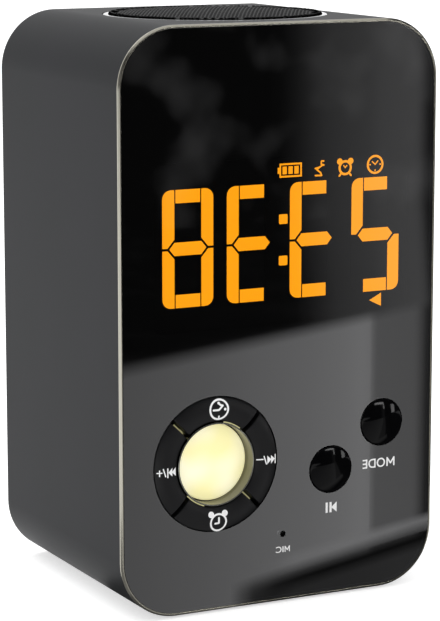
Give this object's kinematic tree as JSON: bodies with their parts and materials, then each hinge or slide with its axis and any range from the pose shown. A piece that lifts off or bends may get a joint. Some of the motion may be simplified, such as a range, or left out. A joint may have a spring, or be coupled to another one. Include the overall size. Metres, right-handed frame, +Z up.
{
  "type": "mirror alarm clock with speaker",
  "caption": "Upright loaf-shaped alarm clock and speaker with a mirror front, glowing digits, a ring of keys round a lit button, two round buttons and a round grille on top.",
  "frame": {"origin": "on the surface that the rubber feet stand on, under the middle of the bounding box", "axes": "+X to the right seen from the front, -Y out of the mirror front, +Z up"},
  "size_m": [0.088, 0.0744, 0.147],
  "materials": {
    "case_plastic": "fine satin, anthracite",
    "bright_trim": "plated, polished",
    "foot_rubber": "matte",
    "mirror_panel": "half-mirrored black acrylic, polished",
    "foam": "closed-cell foam",
    "inner_plastic": "as moulded, black",
    "polished_collar": "polished",
    "light_guide": "milky, lit from behind",
    "switch_case": "as moulded",
    "board_laminate": "solder-masked laminate",
    "steel_screw": "zinc plated",
    "led_chip": "clear",
    "display_black": "as moulded, black",
    "amber_light": "diffused, lit amber",
    "dark_segment": "diffused, unlit",
    "boot_rubber": "matte",
    "mic_can": "plain",
    "ring_chrome": "plated, polished",
    "grille_steel": "matte black paint",
    "basket_steel": "black paint",
    "plated_steel": "zinc plated",
    "ferrite": "ground",
    "surround_rubber": "matte",
    "spider_cloth": "resin-dipped cloth",
    "terminal_board": "phenolic board",
    "rear_plastic": "fine spark texture",
    "socket_steel": "tin plated",
    "jack_plastic": "as moulded, black",
    "cell_wrap": "cell in a shrink sleeve",
    "wire_insulation": "smooth",
    "ribbon_plastic": "flat cable",
    "key_plastic": "satin, dark grey",
    "plunger_plastic": "as moulded",
    "lit_lens": "milky, lit from behind",
    "button_plastic": "high gloss, black",
    "paper_cone": "pressed paper",
    "copper_coil": "enamelled copper wire",
    "knob_plastic": "as moulded, black"
  },
  "bodies": {
    "case": {"main_shell": "case_plastic", "front_trim": "bright_trim", "rubber_feet": "foot_rubber", "front_panel": "mirror_panel", "panel_gasket": "foam", "front_chassis": "inner_plastic", "centre_collar": "polished_collar", "light_guide": "light_guide", "tact_switches": "switch_case", "main_board": "board_laminate", "board_screws": "steel_screw", "centre_leds": "led_chip", "display_housing": "display_black", "lit_segments": "amber_light", "unlit_segments": "dark_segment", "status_icons": "amber_light", "mic_boot": "boot_rubber", "mic_capsule": "mic_can", "grille_ring": "ring_chrome", "grille_mesh": "grille_steel", "speaker_basket": "basket_steel", "speaker_gasket": "foam", "speaker_screws": "steel_screw", "magnet_top_plate": "plated_steel", "magnet_ring": "ferrite", "magnet_yoke": "plated_steel", "cone_surround": "surround_rubber", "spider": "spider_cloth", "speaker_terminals": "terminal_board", "rear_cover": "rear_plastic", "rear_screws": "steel_screw", "port_board": "board_laminate", "port_screws": "steel_screw", "micro_usb_socket": "socket_steel", "aux_jack": "jack_plastic", "card_socket": "socket_steel", "slide_switch": "socket_steel", "battery": "cell_wrap", "battery_cradle": "inner_plastic", "speaker_leads": "wire_insulation", "battery_leads": "wire_insulation", "ribbon_cable": "ribbon_plastic"},
    "clock_key": {"key_clock": "key_plastic", "plunger_clock": "plunger_plastic"},
    "alarm_key": {"key_alarm": "key_plastic", "plunger_alarm": "plunger_plastic"},
    "back_key": {"key_back": "key_plastic", "plunger_back": "plunger_plastic"},
    "forward_key": {"key_forward": "key_plastic", "plunger_forward": "plunger_plastic"},
    "centre_press": {"centre_button": "lit_lens", "plunger_centre": "plunger_plastic"},
    "play_press": {"play_button": "button_plastic", "plunger_play": "plunger_plastic"},
    "mode_press": {"mode_button": "button_plastic", "plunger_mode": "plunger_plastic"},
    "cone_assembly": {"speaker_cone": "paper_cone", "dust_cap": "paper_cone", "voice_coil": "copper_coil"},
    "power_slide": {"slide_knob": "knob_plastic"}
  },
  "joints": [
    {"name": "clock_key_travel", "type": "slide", "parent": "case", "child": "clock_key", "axis": [0, 1, 0], "range_m": [0, 0.0006], "stiffness_N_per_m": 1500},
    {"name": "alarm_key_travel", "type": "slide", "parent": "case", "child": "alarm_key", "axis": [0, 1, 0], "range_m": [0, 0.0006], "stiffness_N_per_m": 1500},
    {"name": "back_key_travel", "type": "slide", "parent": "case", "child": "back_key", "axis": [0, 1, 0], "range_m": [0, 0.0006], "stiffness_N_per_m": 1500},
    {"name": "forward_key_travel", "type": "slide", "parent": "case", "child": "forward_key", "axis": [0, 1, 0], "range_m": [0, 0.0006], "stiffness_N_per_m": 1500},
    {"name": "centre_press_travel", "type": "slide", "parent": "case", "child": "centre_press", "axis": [0, 1, 0], "range_m": [0, 0.0005], "stiffness_N_per_m": 1500},
    {"name": "play_press_travel", "type": "slide", "parent": "case", "child": "play_press", "axis": [0, 1, 0], "range_m": [0, 0.0006], "stiffness_N_per_m": 1500},
    {"name": "mode_press_travel", "type": "slide", "parent": "case", "child": "mode_press", "axis": [0, 1, 0], "range_m": [0, 0.0006], "stiffness_N_per_m": 1500},
    {"name": "cone_stroke", "type": "slide", "parent": "case", "child": "cone_assembly", "axis": [0, 0, 1], "range_m": [-0.001, 0.001], "stiffness_N_per_m": 1500, "deforming": ["cone_surround", "spider"]},
    {"name": "power_slide_travel", "type": "slide", "parent": "case", "child": "power_slide", "axis": [1, 0, 0], "range_m": [0, 0.002]}
  ]
}
